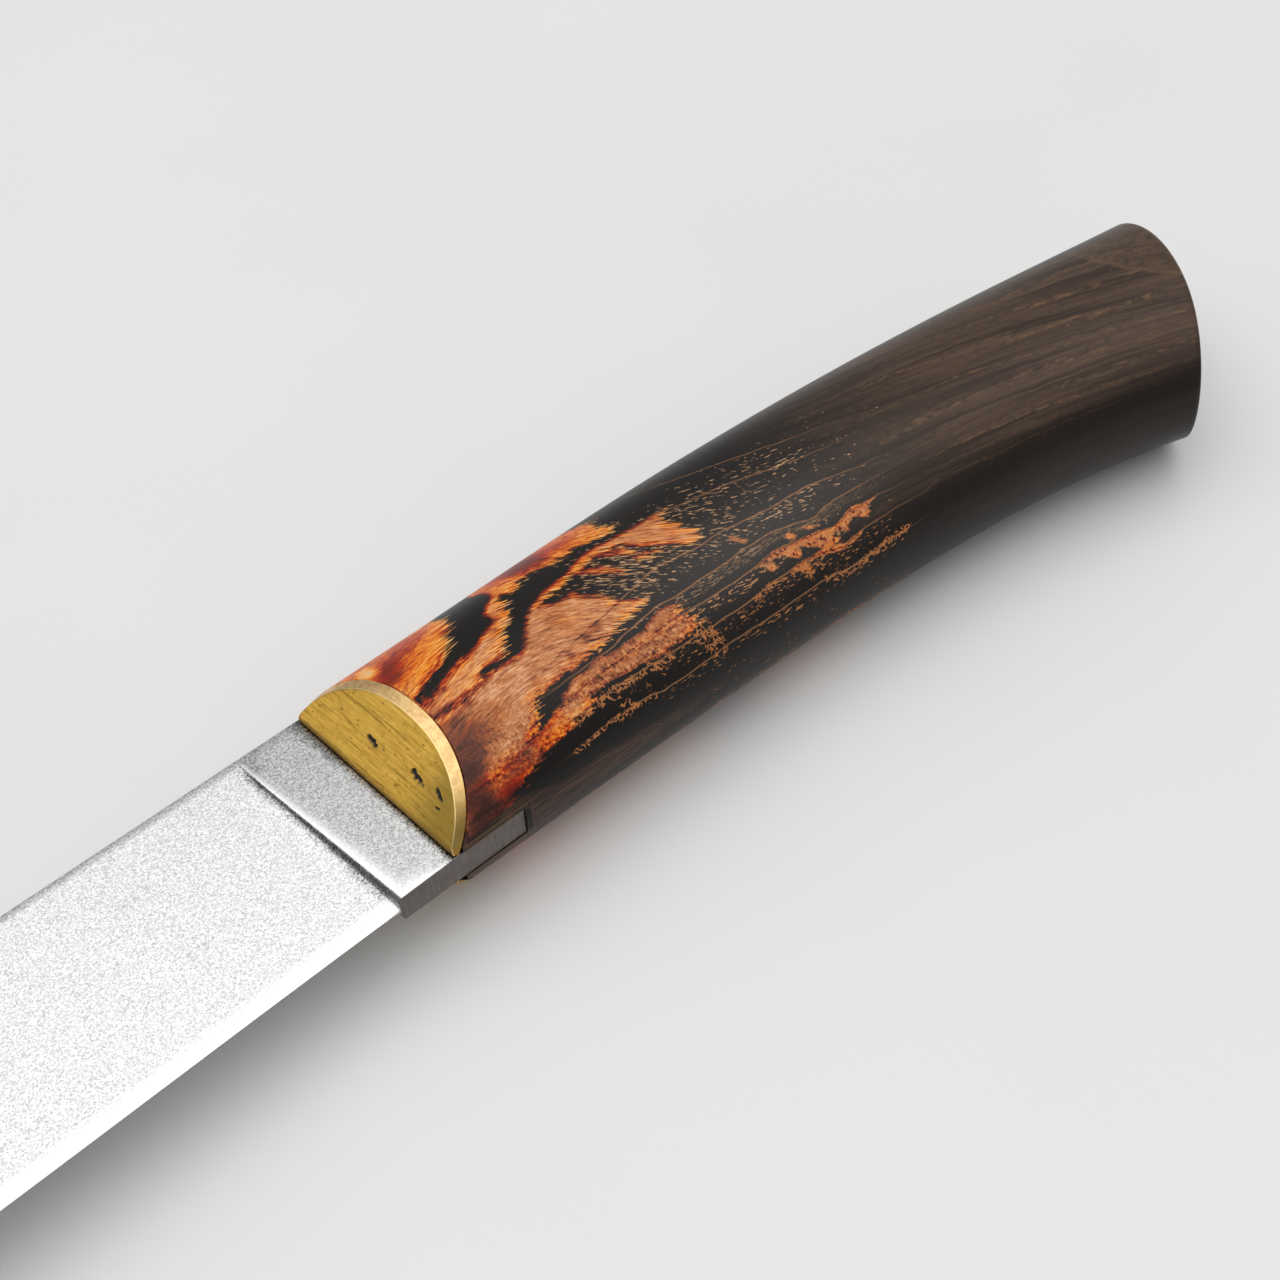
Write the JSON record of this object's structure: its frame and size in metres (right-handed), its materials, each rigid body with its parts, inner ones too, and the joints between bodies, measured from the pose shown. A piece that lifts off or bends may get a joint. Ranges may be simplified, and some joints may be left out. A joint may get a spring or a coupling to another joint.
{
  "type": "fixed-blade knife",
  "caption": "Fixed-blade knife with a flat-ground drop-point blade, slanted brass bolster plates and a drooped one-piece figured wood handle on a hidden tang.",
  "frame": {"origin": "bottom centre of the bounding box, with the knife lying on its right side", "axes": "+X from the tip to the butt, +Y from the cutting edge to the spine, +Z out of the left side of the blade"},
  "size_m": [0.2814, 0.0388, 0.022],
  "materials": {
    "steel": "blasted, pale and finely speckled",
    "brass": "finely brushed faces with a brighter rim",
    "wood": "satin-polished figured wood, orange and black at the front, dark brown at the rear",
    "resin": "amber cured resin"
  },
  "bodies": {
    "root": {"blade": "steel", "bolster_left": "brass", "bolster_right": "brass", "handle": "wood", "epoxy_bed": "resin", "pin_left_spine": "brass", "pin_left_belly": "brass", "pin_right_spine": "brass", "pin_right_belly": "brass"}
  },
  "joints": []
}
